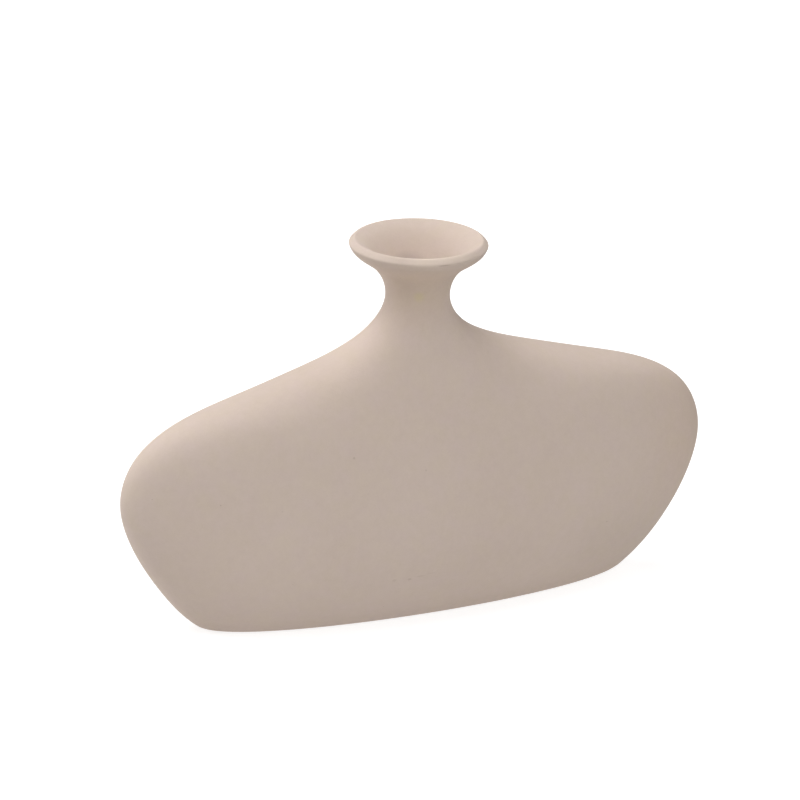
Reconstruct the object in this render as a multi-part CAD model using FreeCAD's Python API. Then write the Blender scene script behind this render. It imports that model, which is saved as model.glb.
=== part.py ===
"""Pillow vase: a cast ceramic vessel with a trumpet mouth, standing on four felt pads.

The frame is +X along the vase, +Y to its back and +Z up. The origin lies under the middle of the
vase, on the surface that the pads stand on. All lengths are in millimetres.

Every level section of the vessel is an oval. One space curve, the generator, carries the whole
wall: its X is an oval's half-length, its Y the oval's half-depth and its Z the oval's height. It
climbs the outside from the foot, goes round the lip and comes down the inside to the floor. The
wall is lofted straight from oval to oval, and the ovals lie closer together where it bends.
"""

import FreeCAD, Part
import math
import os

# Body, from the foot's face up to the neck's root
body_length = 330.0
body_depth = 105.0
body_height = 138.0
belly_height = 71.8

# Foot, with the round corner between its face and the body
foot_length = 231.0
foot_depth = 54.0
foot_corner_reach_long = 12.7
foot_corner_reach_deep = 7.5
foot_corner_rise = 11.0

# Recess in the foot's face, inside the ring that it stands on where it has no pads
foot_land = 6.5
foot_recess = 1.2

# Neck and trumpet mouth
neck_root_length = 78.4
neck_root_depth = 44.8
neck_height = 23.4
waist_diameter = 33.0
mouth_height = 30.2
mouth_diameter = 70.5

# Wall, which is thicker at the trumpet's rim, just under the lip's round edge
wall = 4.2
rim_thickness = 6.0
lip_thickness = 4.2
floor_thickness = 6.0
floor_corner_reach = 7.0

# Felt pads, glued into the foot's recess: the space between a front and a back one, and from each
# to the recess's rim. Their diameter fills the rest.
pad_thickness = 2.0
pad_gap = 9.0
pad_rim_clearance = 1.2

# Spacing of the wall's ovals: how far a straight band may cut inside the generator, and the
# longest band
chord_gap = 0.4
longest_band = 14.0

# One overrun serves every cut
overrun = 1.0

# Place of the felt pads along the recess
pad_place_share = 0.6422

# Places of the generator's middle rings, from one key ring to the next. Each row has the shares
# of the way in half-length, half-depth and height.
corner_to_belly_shares = [(0.422, 0.696, 0.266), (0.915, 0.965, 0.763), (1.0, 0.782, 1.0)]
belly_to_root_shares = [
    (0.056, 0.385, 0.320),
    (0.201, 0.588, 0.535),
    (0.440, 0.738, 0.685),
    (0.738, 0.874, 0.835),
    (1.0, 1.0, 1.0),
]
root_to_waist_shares = [(0.732, 0.536, 0.472), (1.0, 1.0, 1.0)]
waist_to_lip_shares = [(0.079, 0.079, 0.319), (0.381, 0.381, 0.596), (0.847, 0.847, 0.823)]

# Rings on the foot's round corner, in degrees from its lowest point
corner_angles = [0.0, 25.0, 50.0]

# Rings over the lip's round edge, in degrees up from straight outwards
lip_angles = [-30.0, 30.0, 90.0, 130.0]

# Sizes that follow from those above
recess_half_length = foot_length / 2 - foot_land
recess_half_depth = foot_depth / 2 - foot_land


def on_the_way(start, end, rows):
    """The rings that lie between two key rings, each with its wall."""
    rings = []
    for along, deep, up in rows:
        shares = (along, deep, up, up)
        rings.append([a + (b - a) * share for a, b, share in zip(start, end, shares)])
    return rings


def outer_rings():
    """Half-length, half-depth, height and wall of the outside's ovals, from the foot to the lip."""
    foot_corner = []
    for angle in map(math.radians, corner_angles):
        out = math.sin(angle)
        foot_corner.append(
            [
                foot_length / 2 + foot_corner_reach_long * out,
                foot_depth / 2 + foot_corner_reach_deep * out,
                foot_corner_rise * (1 - math.cos(angle)),
                floor_thickness,
            ]
        )
    belly = [body_length / 2, body_depth / 2, belly_height, wall]
    root = [neck_root_length / 2, neck_root_depth / 2, body_height, wall]
    waist = [waist_diameter / 2, waist_diameter / 2, body_height + neck_height, wall]

    lip_radius = lip_thickness / 2
    lip_height = body_height + neck_height + mouth_height - lip_radius
    lip = [mouth_diameter / 2, mouth_diameter / 2, lip_height, wall]
    trumpet = on_the_way(waist, lip, waist_to_lip_shares)
    trumpet[-1][-1] = rim_thickness
    lip_round = []
    for angle in map(math.radians, lip_angles):
        radius = mouth_diameter / 2 - lip_radius + lip_radius * math.cos(angle)
        height = lip_height + lip_radius * math.sin(angle)
        lip_round.append([radius, radius, height, wall])

    return (
        foot_corner
        + on_the_way(foot_corner[-1], belly, corner_to_belly_shares)
        + on_the_way(belly, root, belly_to_root_shares)
        + on_the_way(root, waist, root_to_waist_shares)
        + trumpet
        + lip_round
    )


def smooth_curve(points):
    """A smooth space curve through points."""
    curve = Part.BSplineCurve()
    curve.interpolate(points)
    return curve


def inner_point(curve, point, thickness):
    """The generator's point that lies one wall's thickness inside an outer one.

    It is square to the outside in the front view, and as thick in the side view.
    """
    direction = curve.tangent(curve.parameter(point))[0]
    front_run = math.hypot(direction.x, direction.z)
    side_run = math.hypot(direction.y, direction.z)
    inwards = thickness * direction.z / front_run
    upwards = thickness * direction.x / front_run
    forwards = (thickness * side_run - upwards * direction.y) / direction.z
    return point + FreeCAD.Vector(-inwards, -forwards, upwards)


def generator():
    """The curve that carries the whole wall: up the outside, over the lip and down the inside."""
    rings = outer_rings()
    outside = [FreeCAD.Vector(*ring[:3]) for ring in rings]
    outer_curve = smooth_curve(outside)

    floor_edge = FreeCAD.Vector(
        foot_length / 2 - floor_corner_reach, foot_depth / 2 - floor_corner_reach, floor_thickness
    )
    first = len(corner_angles) - 1
    last = len(rings) - len(lip_angles)
    inside = [
        inner_point(outer_curve, point, ring[3])
        for point, ring in zip(outside[first:last], rings[first:last])
    ]
    inside.reverse()
    return smooth_curve(outside + inside + [floor_edge])


def points_along(curve):
    """The curve's points that get an oval each, so that no band between two is too long or too flat.

    A chord of an arc lies an eighth of its length times its turn inside it.
    """
    knots = curve.getKnots()
    points = [curve.value(knots[0])]
    for start, end in zip(knots, knots[1:]):
        length = curve.length(start, end)
        turn = curve.tangent(start)[0].getAngle(curve.tangent(end)[0])
        bands_for_bend = math.sqrt(length * turn / 8 / chord_gap)
        bands = math.ceil(max(bands_for_bend, length / longest_band))
        for band in range(bands):
            points.append(curve.value(start + (end - start) * (band + 1) / bands))
    return points


def oval_wire(half_length, half_depth, height):
    """A level oval of four quarter arcs."""
    oval = Part.Ellipse(FreeCAD.Vector(0, 0, height), half_length, half_depth)
    quarter = math.pi / 2
    arcs = [Part.Arc(oval, turn * quarter, (turn + 1) * quarter) for turn in range(4)]
    return Part.Wire([arc.toShape() for arc in arcs])


def wall_and_floor():
    """The ceramic body with its hollow, lofted from the foot's face over the lip to the floor."""
    ovals = [oval_wire(point.x, min(point.x, point.y), point.z) for point in points_along(generator())]
    return Part.makeLoft(ovals, True, True)


def foot_recess_tool():
    """The oval plug that leaves a shallow recess in the foot's face."""
    outline = oval_wire(recess_half_length, recess_half_depth, -overrun)
    return Part.Face(outline).extrude(FreeCAD.Vector(0, 0, overrun + foot_recess))


def vessel():
    """The cast vessel in one piece, standing at the height that its pads give it."""
    body = wall_and_floor().cut(foot_recess_tool())
    body.translate(FreeCAD.Vector(0, 0, pad_thickness - foot_recess))
    return body


def felt_pads():
    """The four round felt pads by name, glued against the top of the foot's recess."""
    x = recess_half_length * pad_place_share
    rim = recess_half_depth * math.sqrt(1 - pad_place_share**2)
    diameter = rim - pad_rim_clearance - pad_gap / 2
    y = (pad_gap + diameter) / 2
    pads = {}
    for end, along in (("left", -x), ("right", x)):
        for side, across in (("front", -y), ("back", y)):
            place = FreeCAD.Vector(along, across, 0)
            pads["felt_foot_" + side + "_" + end] = Part.makeCylinder(diameter / 2, pad_thickness, place)
    return pads


def main():
    """Builds every piece and writes one STEP file for each."""
    os.makedirs("parts", exist_ok=True)
    for name, piece in {"vessel": vessel(), **felt_pads()}.items():
        piece.exportStep("parts/" + name + ".step")
        print(name, "valid", piece.isValid(), "solids", len(piece.Solids), "mm3", round(piece.Volume))


main()
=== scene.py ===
import bpy
import bmesh
import math

import numpy as np
from mathutils import Matrix, Vector


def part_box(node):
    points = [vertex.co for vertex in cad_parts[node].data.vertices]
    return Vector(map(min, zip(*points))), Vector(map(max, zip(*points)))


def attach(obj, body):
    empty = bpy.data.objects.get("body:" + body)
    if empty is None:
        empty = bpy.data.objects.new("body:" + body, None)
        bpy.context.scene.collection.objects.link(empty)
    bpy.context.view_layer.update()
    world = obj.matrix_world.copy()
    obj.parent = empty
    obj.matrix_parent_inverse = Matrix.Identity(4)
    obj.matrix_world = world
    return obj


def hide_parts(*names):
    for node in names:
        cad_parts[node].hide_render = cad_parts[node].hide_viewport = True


# Pillow vase in matte unglazed ceramic, in metres and in the frame of its CAD model: +X along the
# vase, +Y to its back, +Z up. The vessel follows the CAD model's ovals.

MM = 0.001

# Camera, fitted to the photograph. Angles are in degrees; the turn is from the vase's front.
CAMERA_TURN = -28.24
CAMERA_RISE = 18.95
CAMERA_ROLL = 1.24
CAMERA_DISTANCE = 4.0
CAMERA_PIVOT = Vector((0.0, 0.0, 0.1008))
CAMERA_AIM_RIGHT = -7.74 * MM
CAMERA_AIM_UP = 5.11 * MM
CAMERA_LENS = 353.0
CAMERA_SENSOR = 36.0

# Vessel mesh
STEPS_ROUND = 288
LONGEST_ROW = 4.0 * MM
SHARPEST_ROW = math.radians(6.0)
CURVE_STEPS = 6000
UNEVENNESS = 0.12 * MM
UNEVENNESS_SIZE = 28.0 * MM
UNEVENNESS_SEED = 4.0

# Round edge of the foot's recess, with its rows inside and under the rim
RIM_ROUND = 0.5 * MM
RIM_ROWS_INSIDE = 5
RIM_ROWS_UNDER = 6

# What counts as one point, as level or on a plane, and as a bend, in the CAD model's mesh
SAME_POINT = 0.001 * MM
ON_PLANE = 0.01 * MM
LEAST_BEND = math.radians(0.2)

# Lip and upper inside, finer than in the CAD model: a round rim that turns in sharply at its lower
# edge. Each row is (radius, depth under the top) in millimetres. The top lies a little over the CAD
# model's, and the CAD model's ovals that lie within the clearance are left out.
LIP_SECTION = [
    (33.9, 5.9),
    (34.8, 4.4),
    (35.3, 3.3),
    (35.4, 2.65),
    (35.0, 1.95),
    (34.3, 1.2),
    (33.6, 0.5),
    (32.8, 0.05),
    (32.0, 0.1),
    (30.8, 0.65),
    (28.5, 1.85),
    (25.3, 4.2),
    (21.8, 8.0),
    (18.6, 12.6),
]
LIP_RISE = 0.45 * MM
LIP_CLEARANCE = 1.5 * MM

# The mouth isn't quite level: its rise along X and Y, and the heights between which that comes in
MOUTH_LEAN = (-0.0002, 0.0155, 0.0)
LEAN_START = 165.0 * MM
LEAN_END = 188.0 * MM

# Felt feet
PAD_STEPS = 72
PAD_RINGS = 9
PAD_RINGS_ON_TOP = 3
PAD_SIDE_SHARES = (0.33, 0.67, 1.0)
PAD_FUZZ = 0.07 * MM
PAD_FUZZ_SIZE = 0.4 * MM
FIBRES_PER_PAD = 260
FIBRE_LENGTH = 1.1 * MM
FIBRE_THICKNESS = 0.05 * MM
FIBRE_SWEEP = 1.2
FIBRE_LEAN = 0.35

# Stage. The floor adds a glow of its own to what the camera sees of it, so that it comes out white:
# a weaker one in the pool round the vase, which keeps the vase's shadow, and a full one far away.
# The pool also gives off a glow that lights the vase from below.
FLOOR_SIZE = 5.0
FLOOR_SHADE = (0.4, 0.4, 0.4, 1.0)
FLOOR_GLOW = 0.78
POOL_GLOW = 0.49
POOL_REACH = (1.3, 1.0, 1.0)

# Lamps: turn from the vase's front, rise and power in watts
LAMP_DISTANCE = 1.8
LAMP_SIZE = 1.0
LAMPS = {
    "front": (0.0, 35.0, 11.4),
    "front_left_high": (-45.0, 60.0, 9.0),
    "left": (-90.0, 35.0, 3.8),
    "right": (90.0, 35.0, 7.4),
    "back_left_low": (-135.0, 10.0, 13.2),
    "back_left_high": (-135.0, 60.0, 7.8),
    "back_high": (180.0, 60.0, 13.2),
}


def direction(turn, rise):
    """The unit vector from the vase towards a turn and a rise, in degrees."""
    turn, rise = math.radians(turn), math.radians(rise)
    return Vector((math.sin(turn) * math.cos(rise), -math.cos(turn) * math.cos(rise), math.sin(rise)))


# Camera


def add_camera():
    """The camera that sees the vase as the photograph does."""
    back = direction(CAMERA_TURN, CAMERA_RISE)
    right = Vector((math.cos(math.radians(CAMERA_TURN)), math.sin(math.radians(CAMERA_TURN)), 0.0))
    place = CAMERA_PIVOT + back * CAMERA_DISTANCE
    aim = CAMERA_PIVOT + right * CAMERA_AIM_RIGHT + back.cross(right) * CAMERA_AIM_UP
    forward = (aim - place).normalized()
    level = forward.cross(Vector((0.0, 0.0, 1.0))).normalized()
    upright = level.cross(forward)
    roll = math.radians(CAMERA_ROLL)
    side = level * math.cos(roll) + upright * math.sin(roll)
    top = upright * math.cos(roll) - level * math.sin(roll)
    data = bpy.data.cameras.new("camera")
    data.lens = CAMERA_LENS
    data.sensor_width = CAMERA_SENSOR
    data.clip_start = 0.1
    data.clip_end = 50.0
    camera = bpy.data.objects.new("camera", data)
    camera.matrix_world = Matrix.Translation(place) @ Matrix((side, top, -forward)).transposed().to_4x4()
    bpy.context.scene.collection.objects.link(camera)
    bpy.context.scene.camera = camera


# Node trees


def add_node(tree, kind, inputs=None, **settings):
    """A new node, with its inputs by name or number. An input given as a socket is linked."""
    node = tree.nodes.new(kind)
    for name, value in settings.items():
        setattr(node, name, value)
    for key, value in (inputs or {}).items():
        if isinstance(value, bpy.types.NodeSocket):
            tree.links.new(value, node.inputs[key])
        else:
            node.inputs[key].default_value = value
    return node


def maths(tree, operation, first, second=0.0):
    """The result of a sum on two values."""
    return add_node(tree, "ShaderNodeMath", {0: first, 1: second}, operation=operation).outputs[0]


def smooth_share(tree, value, low, high):
    """How far a value has come from low to high, smoothly and between 0 and 1."""
    inputs = {"Value": value, "From Min": low, "From Max": high}
    node = add_node(tree, "ShaderNodeMapRange", inputs, interpolation_type="SMOOTHSTEP")
    return node.outputs["Result"]


def parts_of(tree, vector):
    """The X, Y and Z of a vector."""
    return add_node(tree, "ShaderNodeSeparateXYZ", {0: vector}).outputs


def put_at(tree, geometry, x, y, z):
    """Geometry with its points at the places given by X, Y and Z."""
    place = add_node(tree, "ShaderNodeCombineXYZ", {"X": x, "Y": y, "Z": z})
    inputs = {"Geometry": geometry, "Position": place.outputs[0]}
    return add_node(tree, "GeometryNodeSetPosition", inputs).outputs[0]


def made_uneven(tree, geometry, noise_inputs, reach):
    """Geometry moved in and out along its normals by a noise, over the reach."""
    noise = add_node(tree, "ShaderNodeTexNoise", noise_inputs, noise_dimensions="4D")
    swell = maths(tree, "MULTIPLY", maths(tree, "SUBTRACT", noise.outputs[0], 0.5), reach)
    normal = tree.nodes.new("GeometryNodeInputNormal").outputs[0]
    offset = add_node(tree, "ShaderNodeVectorMath", {0: normal, "Scale": swell}, operation="SCALE")
    inputs = {"Geometry": geometry, "Offset": offset.outputs[0]}
    return add_node(tree, "GeometryNodeSetPosition", inputs).outputs[0]


def mix(tree, factor, first, second, blend="MIX"):
    """Two colours blended."""
    node = add_node(
        tree, "ShaderNodeMix", {0: factor, 6: first, 7: second}, data_type="RGBA", blend_type=blend
    )
    return node.outputs[2]


def new_group(name, kind, inputs, outputs):
    """A node group with its inputs and outputs: {name: (socket type, default)} and {name: type}."""
    group = bpy.data.node_groups.new(name, kind)
    for label, (socket_type, default) in inputs.items():
        socket = group.interface.new_socket(label, in_out="INPUT", socket_type=socket_type)
        if default is not None:
            socket.default_value = default
    for label, socket_type in outputs.items():
        group.interface.new_socket(label, in_out="OUTPUT", socket_type=socket_type)
    return group, group.nodes.new("NodeGroupInput"), group.nodes.new("NodeGroupOutput")


def run_geometry_nodes(piece, group, values):
    """Runs a geometry group on a piece, keeps the mesh that it makes and removes the modifier."""
    modifier = piece.modifiers.new(group.name, "NODES")
    modifier.node_group = group
    for item in group.interface.items_tree:
        if item.in_out == "INPUT" and item.name in values:
            modifier[item.identifier] = values[item.name]
    piece.update_tag()
    depsgraph = bpy.context.evaluated_depsgraph_get()
    made = bpy.data.meshes.new_from_object(piece.evaluated_get(depsgraph), depsgraph=depsgraph)
    piece.modifiers.clear()
    piece.data = made


def new_piece(name, vertices, edges, faces):
    """A mesh object at the origin."""
    mesh = bpy.data.meshes.new(name)
    mesh.from_pydata(vertices, edges, faces)
    piece = bpy.data.objects.new(name, mesh)
    bpy.context.scene.collection.objects.link(piece)
    return piece


# Vessel


def wall_line(node, along, across):
    """The CAD wall's cut through one plane of symmetry, from the foot over the lip to the floor.

    Each row is (distance from the middle, height). Places in the middle of a straight band are left
    out, so that only the CAD model's own ovals count.
    """
    mesh = bmesh.new()
    mesh.from_mesh(node.data)
    bmesh.ops.remove_doubles(mesh, verts=mesh.verts, dist=SAME_POINT)
    on_plane = {v for v in mesh.verts if abs(v.co[across]) < ON_PLANE and v.co[along] > MM}
    foot_height = min(v.co.z for v in on_plane)
    foot = [v for v in on_plane if v.co.z < foot_height + ON_PLANE]
    chain = [max(foot, key=lambda v: v.co[along])]
    found = set(foot)
    while True:
        near = [e.other_vert(chain[-1]) for e in chain[-1].link_edges]
        near = [v for v in near if v in on_plane and v not in found]
        if not near:
            break
        chain.append(min(near, key=lambda v: (v.co - chain[-1].co).length))
        found.add(chain[-1])
    line = np.array([(v.co[along], v.co.z) for v in chain])
    mesh.free()
    steps = np.diff(line, axis=0)
    headings = np.arctan2(steps[:, 1], steps[:, 0])
    bends = np.abs((np.diff(headings) + math.pi) % (2 * math.pi) - math.pi)
    keep = np.concatenate([[True], bends > LEAST_BEND, [True]])
    return line[keep]


def ovals_from(node):
    """Half-length, half-depth and height of the CAD wall's ovals, in their order along the wall."""
    front = wall_line(node, 0, 1)
    side = wall_line(node, 1, 0)
    top = int(np.argmax(front[:, 1]))
    side_top = int(np.argmax(side[:, 1]))
    outer = np.interp(front[: top + 1, 1], side[: side_top + 1, 1], side[: side_top + 1, 0])
    inner = np.interp(front[top + 1 :, 1], side[side_top:, 1][::-1], side[side_top:, 0][::-1])
    return np.column_stack([front[:, 0], np.concatenate([outer, inner]), front[:, 1]])


def with_finer_lip(ovals):
    """The wall's ovals with the finer lip in the place of the CAD model's."""
    top = int(np.argmax(ovals[:, 2]))
    section = np.array([(radius, radius, -depth) for radius, depth in LIP_SECTION]) * MM
    section[:, 2] += ovals[top, 2] + LIP_RISE
    outer, inner = ovals[: top + 1], ovals[top + 1 :]
    outer = outer[outer[:, 2] < section[0, 2] - LIP_CLEARANCE]
    inner = inner[inner[:, 2] < section[-1, 2] - LIP_CLEARANCE]
    return np.vstack([outer, section, inner])


def smooth_rows(points):
    """Rows along the smooth curve through points, closer together where it bends."""
    runs = np.linalg.norm(np.diff(points, axis=0), axis=1)
    places = np.concatenate([[0.0], np.cumsum(runs)])
    count = len(points)
    system = np.eye(count)
    rates = np.zeros_like(points)
    for i in range(1, count - 1):
        system[i, i - 1 : i + 2] = (runs[i - 1], 2 * (runs[i - 1] + runs[i]), runs[i])
        rates[i] = (points[i + 1] - points[i]) / runs[i] - (points[i] - points[i - 1]) / runs[i - 1]
    bends = np.linalg.solve(system, 6 * rates)

    def curve_at(place):
        i = np.clip(np.searchsorted(places, place) - 1, 0, count - 2)
        run = runs[i][:, None]
        before = (places[i + 1] - place)[:, None]
        after = (place - places[i])[:, None]
        bent = (bends[i] * before**3 + bends[i + 1] * after**3) / (6 * run)
        straight = (points[i] / run - bends[i] * run / 6) * before
        return bent + straight + (points[i + 1] / run - bends[i + 1] * run / 6) * after

    fine = np.linspace(0.0, places[-1], CURVE_STEPS)
    line = curve_at(fine)
    steps = np.diff(line, axis=0)
    lengths = np.linalg.norm(steps, axis=1)
    headings = steps / lengths[:, None]
    turns = np.arccos(np.clip((headings[1:] * headings[:-1]).sum(axis=1), -1.0, 1.0))
    cost = lengths / LONGEST_ROW
    cost[1:] += turns / SHARPEST_ROW
    spent = np.concatenate([[0.0], np.cumsum(cost)])
    wanted = np.linspace(0.0, spent[-1], math.ceil(spent[-1]))
    return curve_at(np.interp(wanted, spent, fine))


def foot_rows(node):
    """Rows of the foot's recess, from the middle of its top to the outer edge of the foot's face.

    Its rim has a small round edge, which the CAD model leaves square.
    """
    heights = [v.co.z for v in node.data.vertices]
    low = min(heights)
    corners = [v.co for v in node.data.vertices if v.co.z < low + ON_PLANE]
    foot_long = max(abs(co.x) for co in corners)
    foot_deep = max(abs(co.y) for co in corners)
    rim_long = min(abs(co.x) for co in corners if abs(co.y) < ON_PLANE and co.x > MM)
    reach = foot_long - rim_long
    recess_top = min(z for z in heights if z > low + MM)
    rows = [(0.0, 0.0, recess_top)]
    for angle in np.linspace(0.0, math.pi / 2, RIM_ROWS_INSIDE):
        inwards = RIM_ROUND * (1 - math.sin(angle))
        down = RIM_ROUND * (1 - math.cos(angle))
        rows.append((rim_long - inwards, foot_deep - reach - inwards, recess_top - down))
    for angle in np.linspace(0.0, math.pi / 2, RIM_ROWS_UNDER):
        outwards = RIM_ROUND * (1 - math.cos(angle))
        up = RIM_ROUND * (1 - math.sin(angle))
        rows.append((rim_long + outwards, foot_deep - reach + outwards, low + up))
    rows.append((rim_long + reach / 2, foot_deep - reach / 2, low))
    return rows


def oval_wall_group():
    """Geometry nodes that sweep a generator's points round as ovals, with a hand-cast unevenness."""
    group, start, end = new_group(
        "oval_wall",
        "GeometryNodeTree",
        {
            "Generator": ("NodeSocketGeometry", None),
            "Steps Round": ("NodeSocketInt", STEPS_ROUND),
            "Lean": ("NodeSocketVector", MOUTH_LEAN),
            "Lean Start": ("NodeSocketFloat", LEAN_START),
            "Lean End": ("NodeSocketFloat", LEAN_END),
            "Unevenness": ("NodeSocketFloat", UNEVENNESS),
            "Unevenness Scale": ("NodeSocketFloat", 1.0 / UNEVENNESS_SIZE),
            "Seed": ("NodeSocketFloat", UNEVENNESS_SEED),
            "Material": ("NodeSocketMaterial", None),
        },
        {"Wall": "NodeSocketGeometry"},
    )
    rows = add_node(group, "GeometryNodeAttributeDomainSize", {0: start.outputs["Generator"]})
    columns = maths(group, "ADD", start.outputs["Steps Round"], 1.0)
    grid = add_node(
        group,
        "GeometryNodeMeshGrid",
        {"Vertices X": rows.outputs["Point Count"], "Vertices Y": columns},
    )
    index = group.nodes.new("GeometryNodeInputIndex").outputs[0]
    row = maths(group, "FLOOR", maths(group, "DIVIDE", maths(group, "ADD", index, 0.5), columns))
    column = maths(group, "SUBTRACT", index, maths(group, "MULTIPLY", row, columns))
    turn = maths(group, "DIVIDE", column, start.outputs["Steps Round"])
    turn = maths(group, "MULTIPLY", turn, 2 * math.pi)
    sample = add_node(
        group,
        "GeometryNodeSampleIndex",
        {
            "Geometry": start.outputs["Generator"],
            "Value": group.nodes.new("GeometryNodeInputPosition").outputs[0],
            "Index": row,
        },
        data_type="FLOAT_VECTOR",
    )
    half = parts_of(group, sample.outputs[0])
    x = maths(group, "MULTIPLY", half["X"], maths(group, "COSINE", turn))
    y = maths(group, "MULTIPLY", half["Y"], maths(group, "SINE", turn))
    lean = parts_of(group, start.outputs["Lean"])
    rise = maths(group, "MULTIPLY", x, lean["X"])
    rise = maths(group, "ADD", rise, maths(group, "MULTIPLY", y, lean["Y"]))
    share = smooth_share(group, half["Z"], start.outputs["Lean Start"], start.outputs["Lean End"])
    z = maths(group, "ADD", half["Z"], maths(group, "MULTIPLY", rise, share))
    swept = put_at(group, grid.outputs["Mesh"], x, y, z)
    merged = add_node(
        group, "GeometryNodeMergeByDistance", {"Geometry": swept, "Distance": SAME_POINT}
    )
    noise_inputs = {
        "W": start.outputs["Seed"],
        "Scale": start.outputs["Unevenness Scale"],
        "Detail": 1.0,
    }
    uneven = made_uneven(group, merged.outputs[0], noise_inputs, start.outputs["Unevenness"])
    smooth = add_node(group, "GeometryNodeSetShadeSmooth", {"Geometry": uneven})
    real = add_node(group, "GeometryNodeRealizeInstances", {"Geometry": smooth.outputs[0]})
    painted = add_node(
        group,
        "GeometryNodeSetMaterial",
        {"Geometry": real.outputs[0], "Material": start.outputs["Material"]},
    )
    group.links.new(painted.outputs[0], end.inputs["Wall"])
    return group


def build_vessel(node, material):
    """The ceramic vessel: one wall from the foot's recess over the lip to the floor inside."""
    wall = smooth_rows(with_finer_lip(ovals_from(node)))
    rows = foot_rows(node) + [tuple(row) for row in wall]
    rows.append((0.0, 0.0, rows[-1][2]))
    edges = [(i, i + 1) for i in range(len(rows) - 1)]
    vessel = new_piece("ceramic_vessel", rows, edges, [])
    run_geometry_nodes(vessel, oval_wall_group(), {"Material": material})
    point_outwards(vessel)
    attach(vessel, "root")
    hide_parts(node.name)


def point_outwards(piece):
    """Turns a closed piece's faces to the outside, by the sign of its volume."""
    mesh = bmesh.new()
    mesh.from_mesh(piece.data)
    if mesh.calc_volume(signed=True) < 0:
        bmesh.ops.reverse_faces(mesh, faces=mesh.faces)
    mesh.to_mesh(piece.data)
    mesh.free()


# Felt feet


def felt_group():
    """Geometry nodes that turn a fine disc into felt: a fuzzed surface with loose fibres on it."""
    group, start, end = new_group(
        "felt_disc",
        "GeometryNodeTree",
        {
            "Disc": ("NodeSocketGeometry", None),
            "Fuzz": ("NodeSocketFloat", PAD_FUZZ),
            "Fibre Density": ("NodeSocketFloat", 1.0),
            "Fibre Length": ("NodeSocketFloat", FIBRE_LENGTH),
            "Fibre Thickness": ("NodeSocketFloat", FIBRE_THICKNESS),
            "Seed": ("NodeSocketInt", 1),
            "Material": ("NodeSocketMaterial", None),
        },
        {"Felt": "NodeSocketGeometry"},
    )
    noise_inputs = {"W": start.outputs["Seed"], "Scale": 1.0 / PAD_FUZZ_SIZE, "Detail": 2.0}
    fuzzed = made_uneven(group, start.outputs["Disc"], noise_inputs, start.outputs["Fuzz"])
    points = add_node(
        group,
        "GeometryNodeDistributePointsOnFaces",
        {
            "Mesh": fuzzed,
            "Density": start.outputs["Fibre Density"],
            "Seed": start.outputs["Seed"],
        },
    )
    fibre = add_node(
        group,
        "GeometryNodeCurveArc",
        {"Resolution": 4, "Radius": start.outputs["Fibre Length"], "Sweep Angle": FIBRE_SWEEP},
    )
    lean = add_node(
        group,
        "FunctionNodeRandomValue",
        {
            0: (-FIBRE_LEAN, -FIBRE_LEAN, 0.0),
            1: (FIBRE_LEAN, FIBRE_LEAN, 2 * math.pi),
            "Seed": start.outputs["Seed"],
        },
        data_type="FLOAT_VECTOR",
    )
    turned = add_node(
        group,
        "FunctionNodeRotateRotation",
        {"Rotation": points.outputs["Rotation"], "Rotate By": lean.outputs[0]},
        rotation_space="LOCAL",
    )
    fibres = add_node(
        group,
        "GeometryNodeInstanceOnPoints",
        {
            "Points": points.outputs["Points"],
            "Instance": fibre.outputs[0],
            "Rotation": turned.outputs[0],
        },
    )
    real = add_node(group, "GeometryNodeRealizeInstances", {"Geometry": fibres.outputs[0]})
    section = add_node(
        group,
        "GeometryNodeCurvePrimitiveCircle",
        {"Resolution": 3, "Radius": maths(group, "MULTIPLY", start.outputs["Fibre Thickness"], 0.5)},
    )
    strands = add_node(
        group,
        "GeometryNodeCurveToMesh",
        {"Curve": real.outputs[0], "Profile Curve": section.outputs[0], "Fill Caps": True},
    )
    joined = group.nodes.new("GeometryNodeJoinGeometry")
    group.links.new(strands.outputs[0], joined.inputs[0])
    group.links.new(fuzzed, joined.inputs[0])
    place = parts_of(group, group.nodes.new("GeometryNodeInputPosition").outputs[0])
    above_table = maths(group, "MAXIMUM", place["Z"], 0.0)
    pressed = put_at(group, joined.outputs[0], place["X"], place["Y"], above_table)
    painted = add_node(
        group,
        "GeometryNodeSetMaterial",
        {"Geometry": pressed, "Material": start.outputs["Material"]},
    )
    group.links.new(painted.outputs[0], end.inputs["Felt"])
    return group


def fine_disc(name, low, high):
    """A closed disc with rings of vertices, between two corners of a node's box."""
    centre = (low + high) / 2
    radius = (high.x - low.x) / 2
    outline = [(radius * i / PAD_RINGS, low.z) for i in range(1, PAD_RINGS + 1)]
    outline += [(radius, low.z + (high.z - low.z) * share) for share in PAD_SIDE_SHARES]
    outline += [(radius * i / PAD_RINGS_ON_TOP, high.z) for i in range(PAD_RINGS_ON_TOP - 1, 0, -1)]
    vertices = [(centre.x, centre.y, low.z)]
    for reach, height in outline:
        for step in range(PAD_STEPS):
            turn = 2 * math.pi * step / PAD_STEPS
            place = (centre.x + reach * math.cos(turn), centre.y + reach * math.sin(turn), height)
            vertices.append(place)
    vertices.append((centre.x, centre.y, high.z))
    faces = []
    last_row = 1 + (len(outline) - 1) * PAD_STEPS
    for step in range(PAD_STEPS):
        after = (step + 1) % PAD_STEPS
        faces.append((0, 1 + after, 1 + step))
        faces.append((last_row + step, last_row + after, len(vertices) - 1))
        for row in range(len(outline) - 1):
            base = 1 + row * PAD_STEPS
            faces.append(
                (base + step, base + after, base + PAD_STEPS + after, base + PAD_STEPS + step)
            )
    return new_piece(name, vertices, [], faces)


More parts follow.
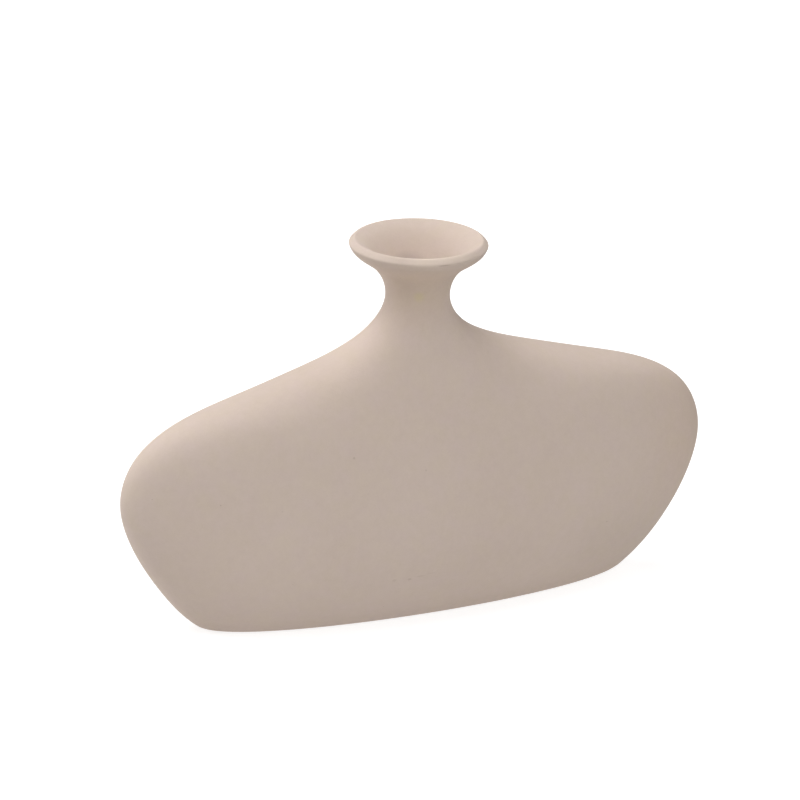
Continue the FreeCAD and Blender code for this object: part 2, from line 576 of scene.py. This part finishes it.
def build_felt_feet(nodes, material):
    """One felt disc for each of the CAD model's feet, each with its own fibres."""
    group = felt_group()
    for seed, name in enumerate(sorted(n for n in nodes if n.startswith("felt_foot"))):
        low, high = map(Vector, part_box(name))
        disc = fine_disc(name.replace("felt_foot", "felt_disc"), low, high)
        radius = (high.x - low.x) / 2
        area = 2 * math.pi * radius * (radius + high.z - low.z)
        values = {"Fibre Density": FIBRES_PER_PAD / area, "Seed": seed + 1, "Material": material}
        run_geometry_nodes(disc, group, values)
        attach(disc, "root")
        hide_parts(name)


# Materials


def object_noise_group():
    """A noise on object coordinates, spread evenly over 0 to 1."""
    group, start, end = new_group(
        "object_noise",
        "ShaderNodeTree",
        {
            "Size": ("NodeSocketFloat", 0.01),
            "Detail": ("NodeSocketFloat", 2.0),
            "Low": ("NodeSocketFloat", 0.3),
            "High": ("NodeSocketFloat", 0.7),
            "Seed": ("NodeSocketFloat", 0.0),
        },
        {"Value": "NodeSocketFloat"},
    )
    place = group.nodes.new("ShaderNodeTexCoord").outputs["Object"]
    noise = add_node(
        group,
        "ShaderNodeTexNoise",
        {
            "Vector": place,
            "W": start.outputs["Seed"],
            "Scale": maths(group, "DIVIDE", 1.0, start.outputs["Size"]),
            "Detail": start.outputs["Detail"],
        },
        noise_dimensions="4D",
    )
    spread = add_node(
        group,
        "ShaderNodeMapRange",
        {
            "Value": noise.outputs[0],
            "From Min": start.outputs["Low"],
            "From Max": start.outputs["High"],
        },
    )
    group.links.new(spread.outputs["Result"], end.inputs["Value"])
    return group


# Specks: the smallest one's size and what the largest has more, in radii, and how sharp an edge is
SMALLEST_SPECK = 0.4
SPECK_SPREAD = 0.8
SPECK_EDGE = 2.0

# Part of a soft spot's reach that has its full strength
SPOT_CORE = 0.2


def speck_group():
    """A mask of sparse round dots on object coordinates, each of its own size."""
    group, start, end = new_group(
        "specks",
        "ShaderNodeTree",
        {
            "Spacing": ("NodeSocketFloat", 0.004),
            "Share": ("NodeSocketFloat", 0.1),
            "Radius": ("NodeSocketFloat", 0.0002),
        },
        {"Mask": "NodeSocketFloat"},
    )
    place = group.nodes.new("ShaderNodeTexCoord").outputs["Object"]
    cells = add_node(
        group,
        "ShaderNodeTexVoronoi",
        {"Vector": place, "Scale": maths(group, "DIVIDE", 1.0, start.outputs["Spacing"])},
        feature="F1",
    )
    lot = add_node(group, "ShaderNodeSeparateColor", {0: cells.outputs["Color"]})
    chosen = maths(group, "LESS_THAN", lot.outputs[0], start.outputs["Share"])
    distance = maths(group, "MULTIPLY", cells.outputs["Distance"], start.outputs["Spacing"])
    size = maths(group, "ADD", maths(group, "MULTIPLY", lot.outputs[1], SPECK_SPREAD), SMALLEST_SPECK)
    radius = maths(group, "MULTIPLY", start.outputs["Radius"], size)
    dot = maths(group, "SUBTRACT", 1.0, maths(group, "DIVIDE", distance, radius))
    dot = maths(group, "MULTIPLY", maths(group, "MAXIMUM", dot, 0.0), SPECK_EDGE)
    mask = maths(group, "MULTIPLY", maths(group, "MINIMUM", dot, 1.0), chosen)
    group.links.new(mask, end.inputs["Mask"])
    return group


def spot_group():
    """A soft mask round a place, with a reach of its own along each axis."""
    group, start, end = new_group(
        "soft_spot",
        "ShaderNodeTree",
        {
            "Place": ("NodeSocketVector", (0.0, 0.0, 0.0)),
            "Reach": ("NodeSocketVector", (0.01, 0.01, 0.01)),
        },
        {"Mask": "NodeSocketFloat"},
    )
    place = group.nodes.new("ShaderNodeTexCoord").outputs["Object"]
    away = add_node(
        group, "ShaderNodeVectorMath", {0: place, 1: start.outputs["Place"]}, operation="SUBTRACT"
    )
    scaled = add_node(
        group,
        "ShaderNodeVectorMath",
        {0: away.outputs[0], 1: start.outputs["Reach"]},
        operation="DIVIDE",
    )
    length = add_node(group, "ShaderNodeVectorMath", {0: scaled.outputs[0]}, operation="LENGTH")
    mask = smooth_share(group, length.outputs["Value"], 1.0, SPOT_CORE)
    group.links.new(mask, end.inputs["Mask"])
    return group


def use_group(tree, group, inputs):
    """The first output of a shader group with the given inputs."""
    node = tree.nodes.new("ShaderNodeGroup")
    node.node_tree = group
    for name, value in inputs.items():
        node.inputs[name].default_value = value
    return node.outputs[0]


def empty_material(name):
    """A material with nothing but its output, its node tree and the output's surface."""
    material = bpy.data.materials.new(name)
    material.use_nodes = True
    tree = material.node_tree
    tree.nodes.clear()
    return material, tree, tree.nodes.new("ShaderNodeOutputMaterial").inputs["Surface"]


def matte_material(name, roughness, specular):
    """A material with its principled shader, dull and with a weak gloss."""
    material, tree, surface = empty_material(name)
    shader = tree.nodes.new("ShaderNodeBsdfPrincipled")
    shader.inputs["Roughness"].default_value = roughness
    shader.inputs["Specular IOR Level"].default_value = specular
    tree.links.new(shader.outputs[0], surface)
    return material, tree, shader


def emboss(tree, shader, height):
    """Gives a surface the fine relief of a height in metres."""
    bump = add_node(tree, "ShaderNodeBump", {"Height": height, "Strength": 1.0, "Distance": 1.0})
    tree.links.new(bump.outputs[0], shader.inputs["Normal"])


def spot_at(tree, group, place, reach):
    """The mask of a soft spot, with its place and reach in millimetres."""
    return use_group(tree, group, {"Place": Vector(place) * MM, "Reach": Vector(reach) * MM})


BISQUE_PALE = (0.629, 0.527, 0.463, 1.0)
BISQUE_DEEP = (0.581, 0.48, 0.415, 1.0)
YELLOW_TINT = (1.0, 0.998, 0.962, 1.0)
PINK_TINT = (1.0, 0.987, 1.0, 1.0)
SPECK_AND_SHADOW_BROWN = (0.30, 0.20, 0.14, 1.0)
SPOT_YELLOW = (0.62, 0.52, 0.34, 1.0)

# Soft changes of tone on the vase, with a painted highlight on the lip and painted shade in the throat:
# place, reach along each axis and the factor that its colour is multiplied by
TONES_AND_PAINTED_LIGHT = [
    # A warmer tone over the neck.
    ((-14.0, -26.0, 170.0), (45.0, 35.0, 26.0), (1.03, 1.01, 0.95)),
    # Painted highlight: the front of the lip made lighter, where light falls on its rounded top.
    ((-12.0, -33.0, 191.5), (32.0, 9.0, 4.0), (1.12, 1.13, 1.12)),
    # Painted shade: the far wall low in the mouth made darker, where the throat lies in shade.
    ((2.0, 15.6, 176.3), (12.0, 9.0, 6.0), (0.84, 0.83, 0.86)),
    # Slightly darker and yellower at the right end.
    ((160.0, -15.0, 70.0), (60.0, 60.0, 80.0), (0.99, 0.97, 0.94)),
    # Slightly darker low on the front, towards the right end.
    ((105.0, -38.0, 25.0), (60.0, 40.0, 30.0), (0.97, 0.975, 0.965)),
]

# Single marks on the vase, and a painted shadow line under the lip: place, reach along each axis, colour
# and strength
MARKS_AND_PAINTED_SHADOW = [
    ((-54.5, -38.0, 95.0), (0.9, 0.9, 0.9), SPECK_AND_SHADOW_BROWN, 0.35),
    ((-16.5, -44.0, 85.0), (0.8, 0.8, 0.8), SPECK_AND_SHADOW_BROWN, 0.2),
    ((-35.5, -48.0, 30.0), (1.6, 1.6, 1.2), SPECK_AND_SHADOW_BROWN, 0.15),
    ((-27.0, -48.5, 29.5), (1.5, 1.5, 0.9), SPECK_AND_SHADOW_BROWN, 0.3),
    ((-21.0, -49.0, 30.5), (4.0, 3.0, 0.6), SPECK_AND_SHADOW_BROWN, 0.15),
    ((-15.0, -49.8, 31.4), (3.5, 3.0, 0.5), SPECK_AND_SHADOW_BROWN, 0.12),
    # Painted shadow: a thin dark line under the lip's outer edge, at the front.
    ((-4.0, -34.9, 189.2), (4.5, 2.0, 0.5), SPECK_AND_SHADOW_BROWN, 0.4),
    ((24.4, 22.4, 193.1), (1.0, 1.0, 1.0), SPECK_AND_SHADOW_BROWN, 0.3),
    ((-7.3, -15.1, 167.1), (4.0, 4.0, 4.0), SPOT_YELLOW, 0.7),
]

# Shares of the bisque's layers of colour, and the heights of its relief
MOTTLE_SHARE = 0.5
GRAIN_SHARE = 0.3
SPECK_SHARE = 0.6
GRAIN_HEIGHT = 0.02 * MM
MOTTLE_HEIGHT = 0.03 * MM
PIT_DEPTH = 0.08 * MM


def bisque_material(noise, specks, spot):
    """Matte unglazed ceramic: faintly mottled warm taupe with specks, pinholes and a fine grain."""
    material, tree, shader = matte_material("bisque", roughness=0.88, specular=0.25)
    clouds = use_group(tree, noise, {"Size": 0.045, "Detail": 3.0, "Seed": 1.0})
    mottle = use_group(tree, noise, {"Size": 0.004, "Detail": 3.0, "Seed": 2.0})
    grain = use_group(tree, noise, {"Size": 0.0009, "Detail": 2.0, "Seed": 3.0})
    tints = use_group(tree, noise, {"Size": 0.01, "Detail": 2.0, "Seed": 4.0})
    colour = mix(tree, clouds, BISQUE_DEEP, BISQUE_PALE)
    colour = mix(tree, MOTTLE_SHARE, colour, mix(tree, mottle, BISQUE_DEEP, BISQUE_PALE))
    colour = mix(tree, GRAIN_SHARE, colour, mix(tree, grain, BISQUE_DEEP, BISQUE_PALE))
    colour = mix(tree, 1.0, colour, mix(tree, tints, PINK_TINT, YELLOW_TINT), "MULTIPLY")
    # The soft tones, with the painted highlight on the lip and the painted shade in the throat
    for place, reach, tone_and_light in TONES_AND_PAINTED_LIGHT:
        colour = mix(tree, spot_at(tree, spot, place, reach), colour, (*tone_and_light, 1.0), "MULTIPLY")

    dots = use_group(tree, specks, {"Spacing": 0.006, "Share": 0.12, "Radius": 0.0003})
    colour = mix(tree, maths(tree, "MULTIPLY", dots, SPECK_SHARE), colour, SPECK_AND_SHADOW_BROWN)
    # The marks, with the painted shadow line under the lip
    for place, reach, paint, strength in MARKS_AND_PAINTED_SHADOW:
        mark_and_shadow_mask = maths(tree, "MULTIPLY", spot_at(tree, spot, place, reach), strength)
        colour = mix(tree, mark_and_shadow_mask, colour, paint)
    tree.links.new(colour, shader.inputs["Base Color"])

    pits = use_group(tree, specks, {"Spacing": 0.0035, "Share": 0.15, "Radius": 0.00025})
    height = maths(tree, "MULTIPLY", grain, GRAIN_HEIGHT)
    height = maths(tree, "ADD", height, maths(tree, "MULTIPLY", mottle, MOTTLE_HEIGHT))
    height = maths(tree, "SUBTRACT", height, maths(tree, "MULTIPLY", pits, PIT_DEPTH))
    emboss(tree, shader, height)
    return material


FELT = (0.33, 0.28, 0.235, 1.0)
FELT_DARK = (0.22, 0.185, 0.155, 1.0)
TUFT_HEIGHT = 0.1 * MM


def felt_material(noise):
    """Pressed wool felt, with a tone of its own in each tuft."""
    material, tree, shader = matte_material("felt", roughness=1.0, specular=0.1)
    tuft = use_group(tree, noise, {"Size": 0.0008, "Detail": 3.0, "Seed": 5.0})
    tree.links.new(mix(tree, tuft, FELT_DARK, FELT), shader.inputs["Base Color"])
    shader.inputs["Sheen Weight"].default_value = 0.3
    emboss(tree, shader, maths(tree, "MULTIPLY", tuft, TUFT_HEIGHT))
    return material


# Stage and light


def add_floor(spot):
    """A plain floor: white to the camera where the light falls, with the vase's soft shadow."""
    half = FLOOR_SIZE / 2
    corners = [(-half, -half, 0.0), (half, -half, 0.0), (half, half, 0.0), (-half, half, 0.0)]
    floor = new_piece("floor", corners, [], [(0, 1, 2, 3)])
    material, tree, surface = empty_material("floor")
    pool = use_group(tree, spot, {"Reach": POOL_REACH})
    ray = tree.nodes.new("ShaderNodeLightPath").outputs["Is Camera Ray"]
    seen = maths(tree, "SUBTRACT", 1.0, maths(tree, "MULTIPLY", pool, 1.0 - FLOOR_GLOW))
    given = maths(tree, "MULTIPLY", pool, POOL_GLOW)
    glow = add_node(tree, "ShaderNodeMix", {0: ray, 2: given, 3: seen}, data_type="FLOAT").outputs[0]
    shade = add_node(tree, "ShaderNodeBsdfDiffuse", {"Color": FLOOR_SHADE})
    shine = add_node(tree, "ShaderNodeEmission", {"Strength": glow})
    both = add_node(tree, "ShaderNodeAddShader", {0: shade.outputs[0], 1: shine.outputs[0]})
    tree.links.new(both.outputs[0], surface)
    floor.data.materials.append(material)


def add_world():
    """A backdrop that is white to the camera and gives no light to anything else."""
    world = bpy.data.worlds.new("world")
    world.use_nodes = True
    bpy.context.scene.world = world
    tree = world.node_tree
    tree.nodes.clear()
    ray = tree.nodes.new("ShaderNodeLightPath")
    white = add_node(
        tree,
        "ShaderNodeBackground",
        {"Color": (1.0, 1.0, 1.0, 1.0), "Strength": ray.outputs["Is Camera Ray"]},
    )
    output = tree.nodes.new("ShaderNodeOutputWorld")
    tree.links.new(white.outputs[0], output.inputs["Surface"])


def add_lamps():
    """Soft square lamps that all face the middle of the vase."""
    for name, (turn, rise, power) in LAMPS.items():
        data = bpy.data.lights.new(name, "AREA")
        data.size = LAMP_SIZE
        data.energy = power
        lamp = bpy.data.objects.new(name, data)
        away = direction(turn, rise)
        lamp.location = CAMERA_PIVOT + away * LAMP_DISTANCE
        lamp.rotation_mode = "QUATERNION"
        lamp.rotation_quaternion = away.to_track_quat("Z", "Y")
        bpy.context.scene.collection.objects.link(lamp)


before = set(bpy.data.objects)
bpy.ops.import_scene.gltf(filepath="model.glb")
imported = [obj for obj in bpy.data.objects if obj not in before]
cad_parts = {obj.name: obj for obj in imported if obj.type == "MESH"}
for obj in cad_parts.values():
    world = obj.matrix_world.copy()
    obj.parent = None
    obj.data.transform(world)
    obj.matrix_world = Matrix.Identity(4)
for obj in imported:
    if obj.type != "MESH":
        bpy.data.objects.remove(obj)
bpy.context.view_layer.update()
bpy.context.scene.view_settings.view_transform = "Standard"
add_camera()
object_noise = object_noise_group()
soft_spot = spot_group()
build_vessel(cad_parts["vessel"], bisque_material(object_noise, speck_group(), soft_spot))
build_felt_feet(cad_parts, felt_material(object_noise))
add_floor(soft_spot)
add_world()
add_lamps()
